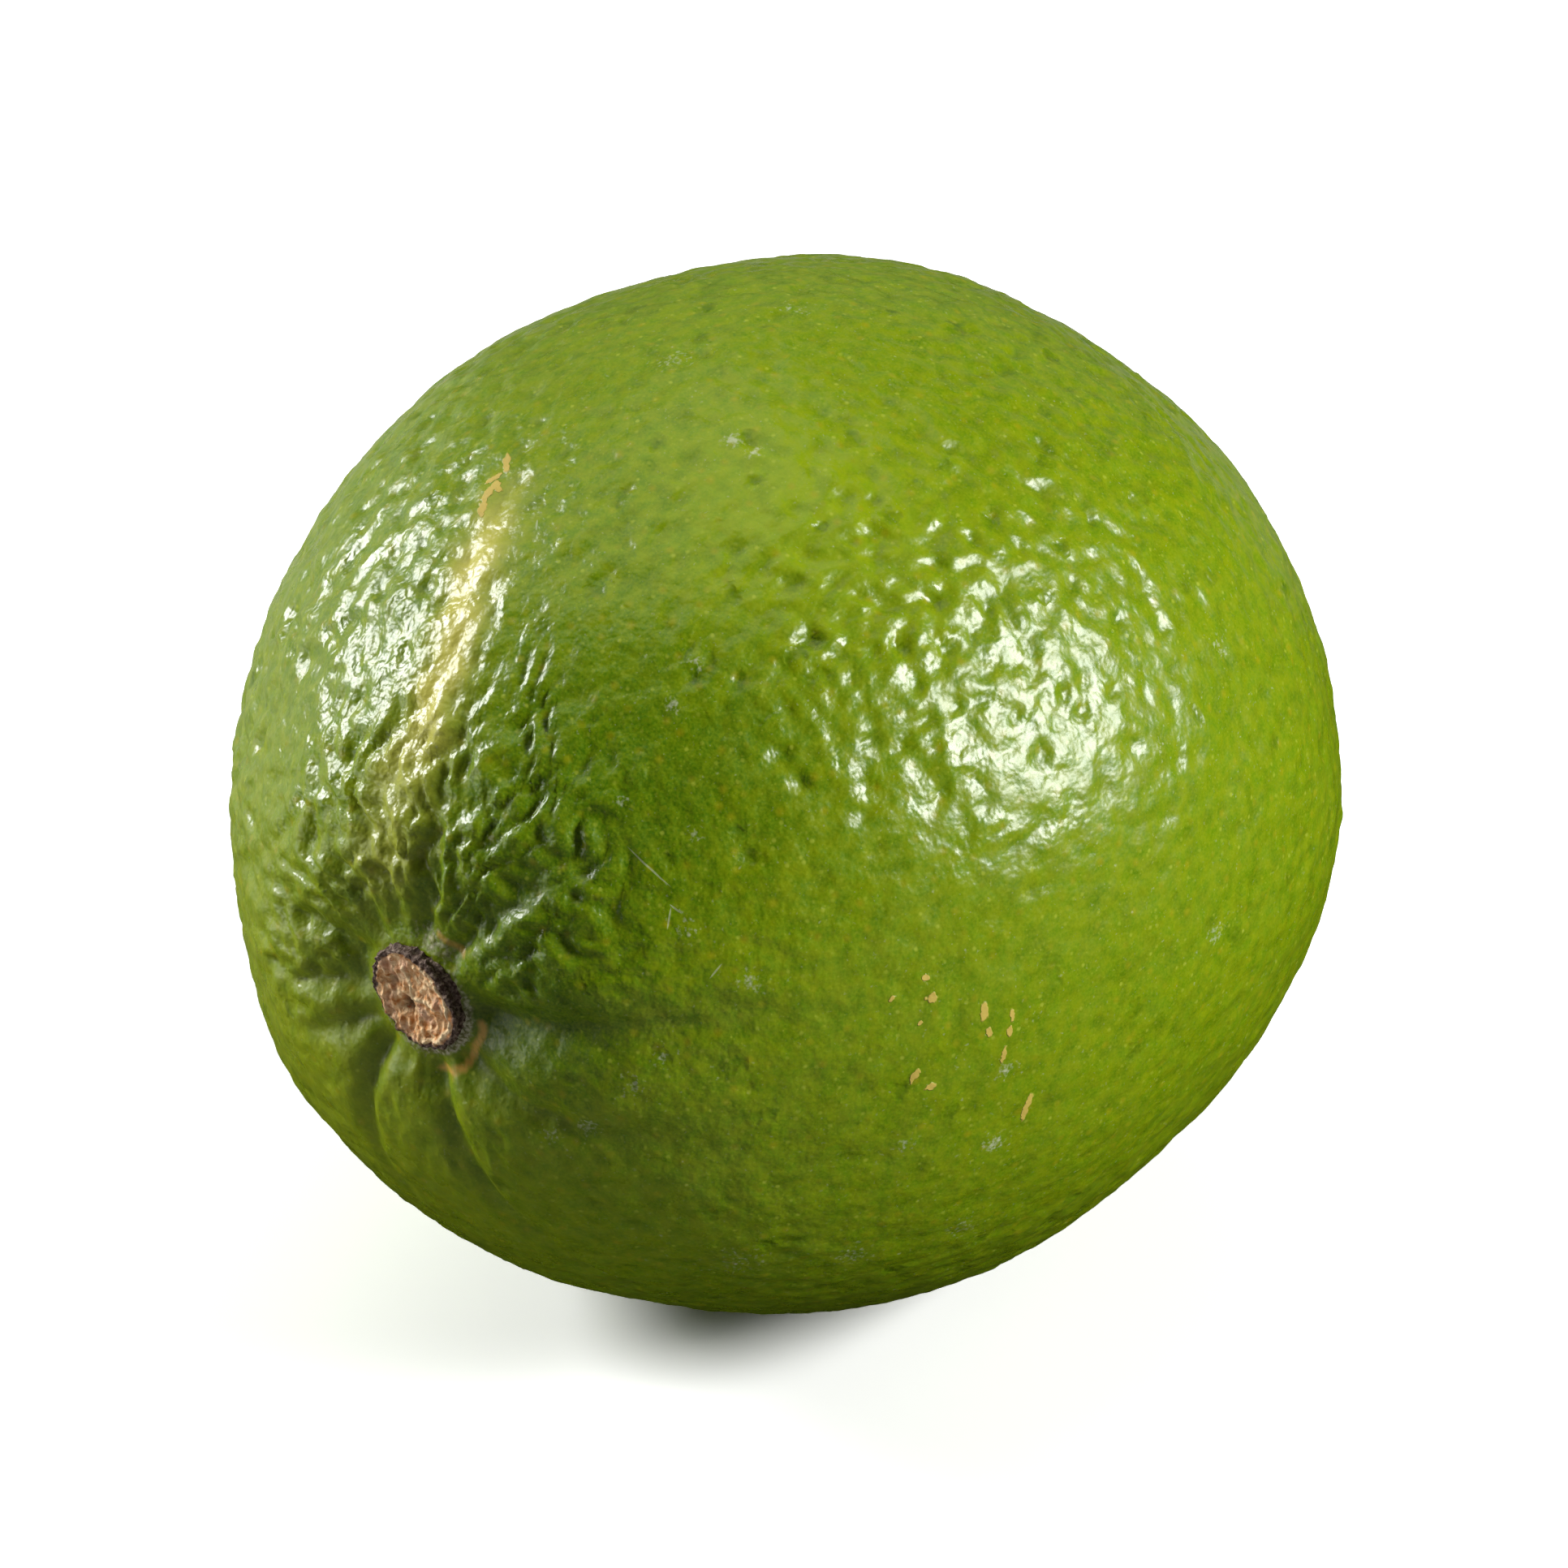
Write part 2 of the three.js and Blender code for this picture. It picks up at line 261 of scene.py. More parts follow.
def gland_pits(directions, points, from_stem):
    """Depth from 0 to 1 of the pits over the oil glands. Few are deep, and on the stem end's
    shoulder they are drawn out towards the stalk."""
    places, rng = gland_places()
    strength = rng.uniform(*PIT_STRENGTH, len(places)) ** 3
    radius = rng.uniform(*PIT_RADIUS, len(places))
    grain = rng.normal(0, 1, places.shape)
    tree = kdtree.KDTree(len(places))
    for i, place in enumerate(places.tolist()):
        tree.insert(place, i)
    tree.balance()
    near = np.array([[hit[1] for hit in tree.find_n(d, GLANDS_NEAR)] for d in directions.tolist()])
    scale = np.linalg.norm(points, axis=1)
    drawn = hump(np.maximum(np.degrees(from_stem) - DRAWN_FROM, 0), DRAWN_SPREAD)
    outward = STEM - directions * (directions @ STEM)[:, None]
    outward /= np.maximum(np.linalg.norm(outward, axis=1, keepdims=True), 1e-6)
    depth = np.zeros(len(points))
    ragged = 1 + PIT_RAGGED * unevenness(points + 60, RAGGED_SIZE)
    for column in near.T:
        gap = (places[column] - directions) * scale[:, None]
        line = DRAWN_STRAIGHT * drawn[:, None] * outward + grain[column]
        line /= np.linalg.norm(line, axis=1, keepdims=True)
        along = (gap * line).sum(1)
        across2 = np.maximum((gap**2).sum(1) - along**2, 0)
        reach = np.sqrt((along / (PIT_LENGTH + DRAWN_LONGER * drawn)) ** 2 + across2)
        depth = np.maximum(depth, strength[column] * hump(reach * ragged, radius[column]))
    return depth * (1 - DRAWN_SHALLOWER * drawn)


def wrinkle_share(around, distance):
    """1 where the skin is finely wrinkled towards the stalk: most over the top of the stem end."""
    aside = np.abs(around_off(around, WRINKLES_UPPER))
    upper = WRINKLES_BELOW + (1 - WRINKLES_BELOW) * (1 - smooth_step(*WRINKLES_SIDES, aside))
    further = sum(more * hump(around_off(around, at), spread) for at, more, spread in WRINKLES_FURTHER)
    left = 1 - smooth_step(WRINKLES_FADE, 1, distance / (WRINKLES_END + further))
    return upper * smooth_step(WRINKLES_BEGIN, WRINKLES_FULL, distance) * left


def wrinkle_height(points, around, distance):
    """Small bumps in rows that run out from the stalk, on longer ribs. The rows are about 0.8 mm apart
    beside the stalk and 1.1 mm further out."""
    around = around + WRINKLE_WANDER * unevenness(points, WANDER_SIZE)
    ring = ROWS_AROUND * np.maximum(distance, 0.5) ** ROWS_SPREAD
    rows = np.stack([ring * np.cos(around), ring * np.sin(around), 0 * ring], 1)
    ribs = [RIBS_AROUND * np.cos(around), RIBS_AROUND * np.sin(around), distance / RIB_LENGTH]
    bumps = ROW_SHARE * unevenness(rows, 1.0) + RIB_SHARE * unevenness(np.stack(ribs, 1), 1.0)
    above = bumps - WRINKLE_TOPS_FROM
    return WRINKLE_DEPTH * np.where(above > 0, WRINKLE_TOPS_FROM + WRINKLE_TOPS * above, bumps)


def relief_height(points, from_stem, around, distance, pits):
    """The peel's relief: rounded bumps over its juice vesicles, pits, soft swells and wrinkles."""
    directions = direction(from_stem, around)
    cobbles = unevenness(points, COBBLE_SIZE)
    skin = COBBLE_DEPTH * np.where(cobbles > 0, COBBLE_TOPS * cobbles, cobbles)
    skin += GRAIN_DEPTH * unevenness(points + 40, GRAIN_SIZE)
    skin += RIPPLE_DEPTH * unevenness(points + 20, RIPPLE_SIZE)
    skin -= PIT_DEPTH * pits
    skin *= RELIEF_EVERYWHERE + patches(directions, RELIEF_MORE)
    lumps = LUMP_DEPTH * unevenness(points + 50, LUMP_SIZE)
    lumps += CRUMPLE_DEPTH * unevenness(points + 70, CRUMPLE_SIZE)
    skin += patches(directions, LUMPY_SHOULDER) * lumps
    wrinkled = wrinkle_share(around, distance)
    height = (1 - WRINKLES_HIDE * wrinkled) * skin + wrinkled * wrinkle_height(points, around, distance)
    height += SWELL_DEPTH * unevenness(points + 80, SWELL_SIZE)
    return height * smooth_step(SKIN_BEGINS, SKIN_FULL, distance)


# ---- the peel's marks ----

# Patches of colour: from_stem, around, strength, spread in degrees. The peel is darker green on the lower
# front of the stem end, partly its own deeper green and partly painted shade, and the small patch in the
# pocket beside the stalk is painted shade. It has begun to turn yellow on its far side, and its upper middle
# is painted paler: a painted light.
DEEP_GREEN_AND_SHADE = [(28, 35, 0.9, 17), (42, 36, 0.2, 12), (14, 50, 0.3, 9), (40, 325, 0.4, 26), (12, 86, 0.9, 7),
              (100, 20, 0.15, 30)]
YELLOWING = [(40, 290, 0.25, 26), (18, 225, 0.75, 24)]
# Painted light: a paler patch on the upper middle, where the lamps leave the peel dim.
PAINTED_TOP_LIGHT = [(61, 24, 1, 14.5)]

# The pale scar: from_stem and the angle around of its middle line, in degrees.
SCAR_LINE = [(8, 338), (14, 343), (18, 348), (24, 351.5), (31, 352), (39, 350.5), (53, 348), (60, 346)]
SCAR_BEGINS, SCAR_ENDS = (7, 13), (40, 54)          # where it fades in and out, in degrees from the stem end
CORE_BEGINS = (17, 28)
SCAR_CORE, CORE_HALF_WIDTH = 0.62, 0.95             # how much paler its middle is than its soft edges
CORE_FULLNESS = 1.4         # what its middle is raised by before it is cut off flat
SCAR_HAZE, HAZE_HALF_WIDTH, HAZE_ASIDE = 0.38, 1.5, 0.1
SCAR_WANDER = [(0.7, 3.5), (0.4, 1.3)]              # how far its line strays, over what length
SCAR_LIP, LIP_ASIDE, LIP_HALF_WIDTH = 0.06, 0.75, 0.6

DENT_SHADE_FULL = 0.4             # how low the noise of the bumps is where the painted shade of a dent is darkest
CREASE_FULL = 0.9           # how deep a fold is where its painted shade is darkest
PEBBLY_FROM, PEBBLY_SPREAD = 8, 12

# The dried crust beside the stalk: distance from the stalk's middle, half width, and the middle and the
# spread of its thickest part around. Elsewhere a thin rim of it is left.
CRUST_RIM, RIM_THICKEST, RIM_THIN = (2.75, 0.3), (130, 60), 0.25
CRUST_PATCH, PATCH_THICKEST, PATCH_STRENGTH = (3.2, 0.9), (18, 32), 0.45

# The ring that the stalk's foot has left: how far out it runs, the waves in that (size, waves around),
# and its two arcs, each with the angles over which it begins and ends, and its strength.
RING_RADIUS, RING_HALF_WIDTH = 3.55, 0.24
RING_WAVES = [(0.2, 3), (0.1, 11)]
RING_ARCS = [((90, 100), (160, 175), 1.0), ((12, 18), (40, 48), 0.7)]

# Places where the wax is rubbed dull and dusty: from_stem, around, half width in millimetres, strength.
DUSTY_PLACES = [
    (57, 96, 0.4, 1.0), (32, 76, 0.5, 0.8), (22, 98, 0.5, 0.7), (19, 115, 0.5, 0.9), (17, 125, 0.4, 0.8),
    (24, 90, 0.35, 0.8), (32, 50, 0.4, 0.6), (28, 64, 0.5, 0.7), (80, 66, 0.5, 0.7), (85, 88, 0.5, 0.8),
    (58, 107, 0.6, 1.0), (48, 106, 0.5, 0.7), (70, 357, 0.8, 0.6), (62.5, 11, 0.4, 1.3),
    (62.5, 14, 0.35, 1.2), (84, 2, 0.8, 0.5), (37.5, 31, 0.3, 1.2), (41.5, 29, 0.3, 1.0),
    (28.5, 37.5, 0.3, 0.8), (50, 128, 1.0, 0.6), (40, 135, 1.1, 0.6), (60, 122, 0.9, 0.6),
    (95, 60, 0.6, 0.7),
]


def scar_aside(from_stem, around, points):
    """Millimetres from the middle line of the pale scar, and the share of it that is left there."""
    degrees = np.degrees(from_stem)
    line = np.array(SCAR_LINE)
    middle = np.interp(degrees, line[:, 0], line[:, 1])
    aside = np.sin(from_stem) * HALF_WIDTH * wrap(around - np.radians(middle))
    for strays, length in SCAR_WANDER:
        aside = aside + strays * unevenness(points, length)
    return aside, smooth_step(*SCAR_BEGINS, degrees) * (1 - smooth_step(*SCAR_ENDS, degrees))


def scar_share(from_stem, aside, ends):
    """How pale the scar is: a flat-topped middle with soft edges."""
    core = smooth_step(*CORE_BEGINS, np.degrees(from_stem))
    core = core * np.minimum(1, CORE_FULLNESS * hump(aside, CORE_HALF_WIDTH))
    return ends * (SCAR_CORE * core + SCAR_HAZE * hump(aside - HAZE_ASIDE, HAZE_HALF_WIDTH))


def stem_crust(around, distance):
    """1 where the skin beside the stalk has dried to a pale crust: a rim below it, a browner patch above."""
    rim, patch = (hump(distance - out, half_width) for out, half_width in (CRUST_RIM, CRUST_PATCH))
    rim_at, patch_at = (hump(around_off(around, middle), spread)
                        for middle, spread in (RIM_THICKEST, PATCH_THICKEST))
    rim = rim * (RIM_THIN + (1 - RIM_THIN) * rim_at)
    return np.maximum(rim, PATCH_STRENGTH * patch * patch_at)


def ring_scar(around, distance):
    """1 on the thin corky line that the stalk's foot has left on the skin, below and beside the stub."""
    degrees = np.degrees(around) % 360
    line = RING_RADIUS + sum(size * np.sin(np.radians(degrees * count)) for size, count in RING_WAVES)
    arcs = sum(strength * smooth_step(*begins, degrees) * (1 - smooth_step(*ends, degrees))
               for begins, ends, strength in RING_ARCS)
    return arcs * hump(distance - line, RING_HALF_WIDTH)


def pebbly_share(around, distance):
    """1 on the upper side of the stem end, where the peel's finest bumps are highest."""
    return hump(np.maximum(distance - PEBBLY_FROM, 0), PEBBLY_SPREAD) * (0.5 + 0.5 * np.cos(around))


def dusty_share(directions):
    """1 where the wax is rubbed most."""
    share = 0
    for from_stem, around, reach, strength in DUSTY_PLACES:
        apart = np.radians(degrees_off(directions, from_stem, around)) * HALF_WIDTH
        share = np.maximum(share, strength * hump(apart, reach))
    return share


# ---- meshes ----

SKIN_CELLS = 128            # cells along each edge of the cube that is drawn onto the fruit
STEM_CROWDING = 0.50        # how much closer the cells lie at the stem end than elsewhere
STEM_CROWDING_REACH = 35    # degrees over which they spread out again
UPPER_CROWDING = 0.25       # and how much closer on the side with the stalk and the top
UPPER_MIDDLE = (45, 20)     # the middle of that side: from_stem, around
SHEET_MARGIN = 0.004        # between the six cube sides on the flat sheet

SEAT_DEPTH = 0.9            # how far the skin goes in under the stub
SEAT_FLOOR, SEAT_RIM = 1.9, 2.45
TOUCH_SOFTNESS = 0.1        # how gently the skin bends where it meets the table


def cube_on_sphere(cells):
    """Unit directions, quads, and each quad corner's place on a flat sheet of the six cube sides.
    The first side is centred on the stem end."""
    step = np.tan(np.linspace(-math.pi / 4, math.pi / 4, cells + 1))
    across, up = np.meshgrid(step, step, indexing="ij")
    sides = [(STEM, TOP, SIDE), (-STEM, SIDE, TOP), (TOP, SIDE, STEM),
             (-TOP, STEM, SIDE), (SIDE, STEM, TOP), (-SIDE, TOP, STEM)]
    points, sheet, quads = [], [], []
    corner = np.arange(cells)[:, None] * (cells + 1) + np.arange(cells)[None, :]
    square = np.stack([corner, corner + cells + 1, corner + cells + 2, corner + 1], -1).reshape(-1, 4)
    edge = np.linspace(SHEET_MARGIN, 1 - SHEET_MARGIN, cells + 1)
    share = np.stack(np.meshgrid(edge, edge, indexing="ij"), -1)
    for number, (out, first, second) in enumerate(sides):
        place = out + across[..., None] * first + up[..., None] * second
        points.append((place / np.linalg.norm(place, axis=-1, keepdims=True)).reshape(-1, 3))
        turned = np.dot(np.cross(first, second), out) < 0
        quads.append((square[:, ::-1] if turned else square) + number * (cells + 1) ** 2)
        cell = np.array([number % 3, number // 3])
        sheet.append(((share + cell) / (3, 2)).reshape(-1, 2))
    points, sheet, quads = np.concatenate(points), np.concatenate(sheet), np.concatenate(quads)
    _, first_use, shared = np.unique(np.round(points, 7), axis=0, return_index=True, return_inverse=True)
    return points[first_use], shared.reshape(-1)[quads], sheet[quads.reshape(-1)]


def mesh_object(name, points, faces, marks=None, sheet=None):
    """An object from points in millimetres, with named values at each point."""
    mesh = bpy.data.meshes.new(name)
    mesh.from_pydata((points * MM).tolist(), [], np.asarray(faces, dtype=object).tolist())
    for mark, values in (marks or {}).items():
        layer = mesh.attributes.new(mark, "FLOAT", "POINT")
        layer.data.foreach_set("value", np.asarray(values, np.float32))
    if sheet is not None:
        mesh.uv_layers.new(name="OFBake").data.foreach_set("uv", sheet.astype(np.float32).ravel())
    mesh.shade_smooth()
    made = bpy.data.objects.new(name, mesh)
    bpy.context.scene.collection.objects.link(made)
    return made


def skin_directions():
    """Where the skin's points lie, most crowded at the stem end; and the quads and their flat sheet."""
    directions, quads, sheet = cube_on_sphere(SKIN_CELLS)
    even = np.arccos(np.clip(directions @ STEM, -1, 1))
    around = np.arctan2(directions @ SIDE, directions @ TOP)
    from_stem = even * (1 - STEM_CROWDING * hump(np.degrees(even), STEM_CROWDING_REACH))
    directions = direction(from_stem, around)
    directions = directions + UPPER_CROWDING * direction(*map(math.radians, UPPER_MIDDLE))
    return directions / np.linalg.norm(directions, axis=1, keepdims=True), quads, sheet


def build_peel():
    """The whole outside of the fruit, with its pits, wrinkles and folds as real relief."""
    directions, quads, sheet = skin_directions()
    from_stem = np.arccos(np.clip(directions @ STEM, -1, 1))
    around = np.arctan2(directions @ SIDE, directions @ TOP)
    smooth = ovoid_radius(from_stem)
    points = directions * smooth[:, None]
    distance = smooth * from_stem
    pits = gland_pits(directions, points, from_stem)
    aside, ends = scar_aside(from_stem, around, points)
    height = form_height(from_stem, around)
    height -= SEAT_DEPTH * (1 - smooth_step(SEAT_FLOOR, SEAT_RIM, distance))
    height = height + relief_height(points, from_stem, around, distance, pits)
    height += SCAR_LIP * ends * hump(aside - LIP_ASIDE, LIP_HALF_WIDTH)
    points = directions * (smooth + height)[:, None] + fruit_middle()
    points[:, 2] = (points[:, 2] + np.sqrt(points[:, 2] ** 2 + TOUCH_SOFTNESS**2)) / 2
    marks = {
        "pit": pits,
        "dent_shade": smooth_step(0, DENT_SHADE_FULL, -unevenness(points, COBBLE_SIZE)),
        "scar": scar_share(from_stem, aside, ends),
        "crease": np.clip(fold_depths(distance, around) / CREASE_FULL, 0, 1),
        "ring_scar": ring_scar(around, distance),
        "dusty": dusty_share(directions),
        "pebbly": pebbly_share(around, distance),
        "deep_green_and_shade": np.clip(patches(directions, DEEP_GREEN_AND_SHADE), 0, 1),
        "yellowing": np.clip(patches(directions, YELLOWING), 0, 1),
        "painted_top_light": patches(directions, PAINTED_TOP_LIGHT),
        "crust": stem_crust(around, distance),
    }
    return mesh_object("peel", points, quads, marks, sheet)


# ---- the stub of stalk ----

STUB_PROUD = 0.5            # how far the middle of its face stands out of the hollow
STUB_SIDES, STUB_RINGS = 220, 130

# Its outline from the middle of its broken face, over the rim of bark and down to its foot: radius and
# height from the face. The face ends at the corner with the number given.
STUB_OUTLINE = [(0.0, -0.16), (0.7, -0.15), (1.4, -0.10), (2.0, -0.03), (2.22, 0.02), (2.36, 0.06),
                (2.47, 0.0), (2.52, -0.15), (2.50, -0.45), (2.55, -0.75), (2.68, -0.98), (2.62, -1.3),
                (2.2, -1.7)]
FACE_ENDS = 6
BARK_STARTS, BARK_EDGE = 2.27, 0.06
# The stub isn't quite round, and its bark not evenly thick: size of each wave, waves around, shift.
BARK_WAVES = [(0.06, 3, 1), (0.04, 7, 0)]
OUTLINE_WAVES = [(0.025, 2, 0.6), (0.012, 5, 2)]

# On the broken face, to the right and up as one looks at it: two deep hollows and a shallow one
# (place, depth, reach), and the torn crests between them and inside the bark.
STUB_HOLLOWS = [((-1.42, 0.41), 0.26, 0.45), ((-0.62, -0.66), 0.42, 0.46), ((0.9, -0.9), 0.08, 0.35)]
STUB_CRESTS = [
    ((-0.48, 1.5), (-0.27, 0.5), (-0.16, 0.0), (0.55, 0.05), (1.25, 0.05)),
    ((0.9, 1.95), (1.75, 1.2), (2.1, 0.3), (2.0, -0.7), (1.25, -1.75), (0.4, -2.05)),
]
CREST_HEIGHT, CREST_WIDTH, CREST_TEAR = 0.13, 0.13, 0.05

# The unevenness of the wood and bark: how it is drawn out along each axis, a shift, and its size.
STUB_GRAIN = {
    "lumps": (1, 7, 0.8),
    "fibres": ((2.2, 1, 1), 19, 0.5),
    "crumbs": ((1, 1, 0.7), 3, 0.24),
    "flakes": ((1, 1, 2.5), 31, 0.6),
}
FACE_RELIEF = {"lumps": 0.16, "fibres": 0.12, "crumbs": 0.10}
BARK_RELIEF = {"lumps": 0.10, "crumbs": 0.12, "flakes": 0.12}
RIM_CRUMBS = 0.16


def distance_to_line(flat, line):
    """From points of a plane to a line through some corners."""
    nearest = np.full(flat.shape[:-1], np.inf)
    for start, end in zip(line[:-1], line[1:]):
        start, leg = np.array(start), np.subtract(end, start)
        along = np.clip(((flat - start) @ leg) / (leg @ leg), 0, 1)
        nearest = np.minimum(nearest, np.linalg.norm(flat - start - along[..., None] * leg, axis=-1))
    return nearest


def waves(turn, rows):
    """The sum of a few waves round the stub's own axis."""
    return sum(size * np.cos(count * turn + shift) for size, count, shift in rows)


def stub_place(points):
    """Turns points that are drawn round the stub's own axis into their place in the frame."""
    lean = direction(math.radians(STUB_LEAN), math.radians(STUB_LEAN_AROUND))
    right = np.cross(TOP, lean)
    right /= np.linalg.norm(right)
    face = STEM * (float(ovoid_radius(0.0)) - HOLLOW_DEPTH) + lean * STUB_PROUD
    return face + points @ np.stack([right, np.cross(lean, right), lean]) + fruit_middle()


def build_stem_stub():
    """The stub of stalk: broken, fibrous wood inside a thin ring of bark."""
    sides, rings = STUB_SIDES, STUB_RINGS
    turn = np.linspace(0, 2 * math.pi, sides, endpoint=False)
    outline = np.array(STUB_OUTLINE)
    length = np.concatenate([[0], np.cumsum(np.hypot(*np.diff(outline, axis=0).T))])
    steps = np.linspace(0.02, length[-1], rings)
    radius, level = (np.interp(steps, length, column)[:, None] for column in outline.T)
    on_face = (steps < length[FACE_ENDS])[:, None]
    bark_edge = BARK_STARTS + waves(turn, BARK_WAVES)
    wood = (1 - smooth_step(bark_edge - BARK_EDGE, bark_edge + BARK_EDGE, radius)) * on_face

    flat = np.stack([radius * np.cos(turn), radius * np.sin(turn)], -1)
    spots = np.concatenate([flat, np.broadcast_to(level[..., None], (rings, sides, 1))], -1).reshape(-1, 3)
    grain = {name: unevenness(spots * drawn_out + shift, size).reshape(rings, sides)
             for name, (drawn_out, shift, size) in STUB_GRAIN.items()}
    hollow = sum(deep * hump(np.hypot(*np.moveaxis(flat - place, -1, 0)), reach)
                 for place, deep, reach in STUB_HOLLOWS)
    torn = flat + CREST_TEAR * grain["fibres"][..., None]
    crest = np.max([hump(distance_to_line(torn, line), CREST_WIDTH) for line in STUB_CRESTS], axis=0)
    rise = sum(high * grain[name] for name, high in FACE_RELIEF.items())
    rise = wood * (rise + CREST_HEIGHT * crest - hollow)
    rise = rise + (1 - wood) * on_face * RIM_CRUMBS * grain["crumbs"]
    swell = (1 - wood) * sum(high * grain[name] for name, high in BARK_RELIEF.items())
    oval = 1 + waves(turn, OUTLINE_WAVES)
    flat = flat * (oval * (1 + swell / np.maximum(radius, 0.5)))[..., None]

    points = np.concatenate([flat, (level + rise)[..., None]], -1)
    points = np.concatenate([points[:1].mean(1), points.reshape(-1, 3)])
    row = 1 + np.arange(rings - 1)[:, None] * sides + np.arange(sides)
    after = 1 + np.arange(rings - 1)[:, None] * sides + (np.arange(sides) + 1) % sides
    faces = np.stack([row, row + sides, after + sides, after], -1).reshape(-1, 4).tolist()
    faces += [[0, 1 + i, 1 + (i + 1) % sides] for i in range(sides)]
    marks = {name: np.concatenate([[values[0].mean()], (values + 0 * turn).ravel()])
             for name, values in [("wood", wood), ("hollow", hollow * wood), ("crest", crest * wood)]}
    return mesh_object("stem_stub", stub_place(points), faces, marks)


# ---- the view ----

VIEW_AZIMUTH, VIEW_ELEVATION = math.radians(-54.5), math.radians(28)
VIEW_DISTANCE = 240.9
AIM_LEFT, AIM_DOWN = 0.36, 0.08     # the camera looks this far beside and under the fruit's middle
SENSOR, LENS = 36.0, 115.7
RIGHT = np.array([math.cos(VIEW_AZIMUTH), math.sin(VIEW_AZIMUTH), 0])
BACK = np.array([math.sin(VIEW_AZIMUTH) * math.cos(VIEW_ELEVATION),
                 -math.cos(VIEW_AZIMUTH) * math.cos(VIEW_ELEVATION), math.sin(VIEW_ELEVATION)])
UP = np.cross(BACK, RIGHT)
LEVEL_BACK = np.array([BACK[0], BACK[1], 0]) / math.cos(VIEW_ELEVATION)


# ---- materials ----

# Corky flecks: from_stem, around, length and width in millimetres, turn from the line to the stalk.
FLECKS = [
    (48.2, 81, 0.30, 0.26, 0), (44.8, 83, 0.34, 0.26, 0), (48.7, 84, 0.50, 0.42, 0),
    (47.4, 87, 0.26, 0.22, 0), (54.0, 87.2, 0.95, 0.36, 88), (54.6, 90.2, 0.50, 0.34, 95),
    (57.2, 88.6, 0.60, 0.24, 85), (57.0, 90.6, 0.50, 0.28, 80), (56.5, 93.8, 0.90, 0.22, 88),
    (47.2, 94.6, 0.80, 0.34, 70), (49.0, 96.6, 0.60, 0.36, 20), (60.6, 102, 1.6, 0.30, 88),
    (52.2, 346.2, 1.30, 0.34, 25), (50.2, 345.6, 0.90, 0.34, -35), (49.4, 346.6, 0.60, 0.36, 40),
    (48.2, 346.2, 1.00, 0.42, -10), (46.6, 346.6, 1.10, 0.42, 20), (48.9, 347.2, 0.60, 0.28, 80),
]

# Thin pale scratches in the wax, in the same form.
SCRATCHES = [
    (27.3, 50.5, 2.4, 0.08, 108), (27.0, 61.0, 0.9, 0.08, 60), (27.8, 59.8, 0.6, 0.08, 120),
    (29.5, 73, 0.8, 0.08, 40), (45.5, 356.5, 0.6, 0.10, 30),
]

MARK_BEGINS, MARK_FULL = 1.12, 0.88         # how far out such a mark begins and is full, in half widths

# Oil specks just below the wax: their spacing in millimetres, and how strongly the palest shows.
SPECKS = [(0.55, 0.6), (0.25, 0.35)]


def linear(colour):
    """An sRGB hex colour as a linear colour with full alpha."""
    shares = [int(colour[i:i + 2], 16) / 255 for i in (1, 3, 5)]
    return [s / 12.92 if s <= 0.04045 else ((s + 0.055) / 1.055) ** 2.4 for s in shares] + [1.0]


def add(tree, kind, inputs=None, out=None, **settings):
    """Adds a node with its settings, with each input set to a value or linked to an output, and gives
    the output that is named, or else its first one in use."""
    made = tree.nodes.new("ShaderNode" + kind)
    for name, value in settings.items():
        setattr(made, name, value)
    for name, value in (inputs or {}).items():
        if isinstance(value, bpy.types.NodeSocket):
            tree.links.new(value, made.inputs[name])
        else:
            made.inputs[name].default_value = value
    if out:
        return made.outputs[out]
    return next((socket for socket in made.outputs if socket.enabled), None)


def new_material(name):
    """A material with no nodes, its node tree, and the place on the piece in millimetres."""
    made = bpy.data.materials.new(name)
    made.use_nodes = True
    tree = made.node_tree
    tree.nodes.clear()
    place = add(tree, "TexCoord", out="Object")
    return made, tree, add(tree, "VectorMath", {0: place, "Scale": 1 / MM}, operation="SCALE")


def coated(tree, colour, coats):
    """Lays colours over one another. A coat is a value, where in its range the coat begins and where it
    is full, how much of it shows there, and its colour."""
    for value, begins, full, most, over in coats:
        share = add(tree, "MapRange", {"Value": value, "From Min": begins, "From Max": full, "To Max": most})
        colour = add(tree, "Mix", {"Factor": share, "A": colour, "B": over}, data_type="RGBA")
    return colour


def shaken(tree, place, size, reach):
    """The place, moved to and fro by noise, so that what is drawn there has ragged edges."""
    shake = add(tree, "TexNoise", {"Vector": place, "Scale": 1 / size, "Detail": 1.0}, out="Color")
    shake = add(tree, "VectorMath", {0: shake, 1: (0.5,) * 3}, operation="SUBTRACT")
    return add(tree, "VectorMath", {0: shake, 1: (reach,) * 3, 2: place}, operation="MULTIPLY_ADD")


def skin_place(from_stem, around):
    """A place on the finished skin, and the direction towards the stalk there and the one outwards."""
    from_stem, around = math.radians(from_stem), math.radians(around)
    out = direction(from_stem, around)
    towards = STEM - out * (out @ STEM)
    radius = float(ovoid_radius(from_stem) + form_height(np.array(from_stem), np.array(around)))
    return out * radius + fruit_middle(), towards / np.linalg.norm(towards), out


def small_marks(tree, place, rows):
    """1 inside small oval marks on the skin and 0 outside."""
    marks = 0.0
    for from_stem, around, length, width, turn in rows:
        middle, towards, out = skin_place(from_stem, around)
        turn = math.radians(turn)
        along = math.cos(turn) * towards + math.sin(turn) * np.cross(out, towards)
        axes = Matrix([along, np.cross(out, along), out]).transposed()
        local = add(tree, "Mapping", {"Vector": place, "Location": middle, "Rotation": axes.to_euler(),
                                      "Scale": (length / 2, width / 2, 1.0)}, vector_type="TEXTURE")
        away = add(tree, "VectorMath", {0: local}, operation="LENGTH")
        mark = add(tree, "MapRange", {"Value": away, "From Min": MARK_BEGINS, "From Max": MARK_FULL})
        marks = add(tree, "Math", {0: marks, 1: mark}, operation="MAXIMUM")
    return marks


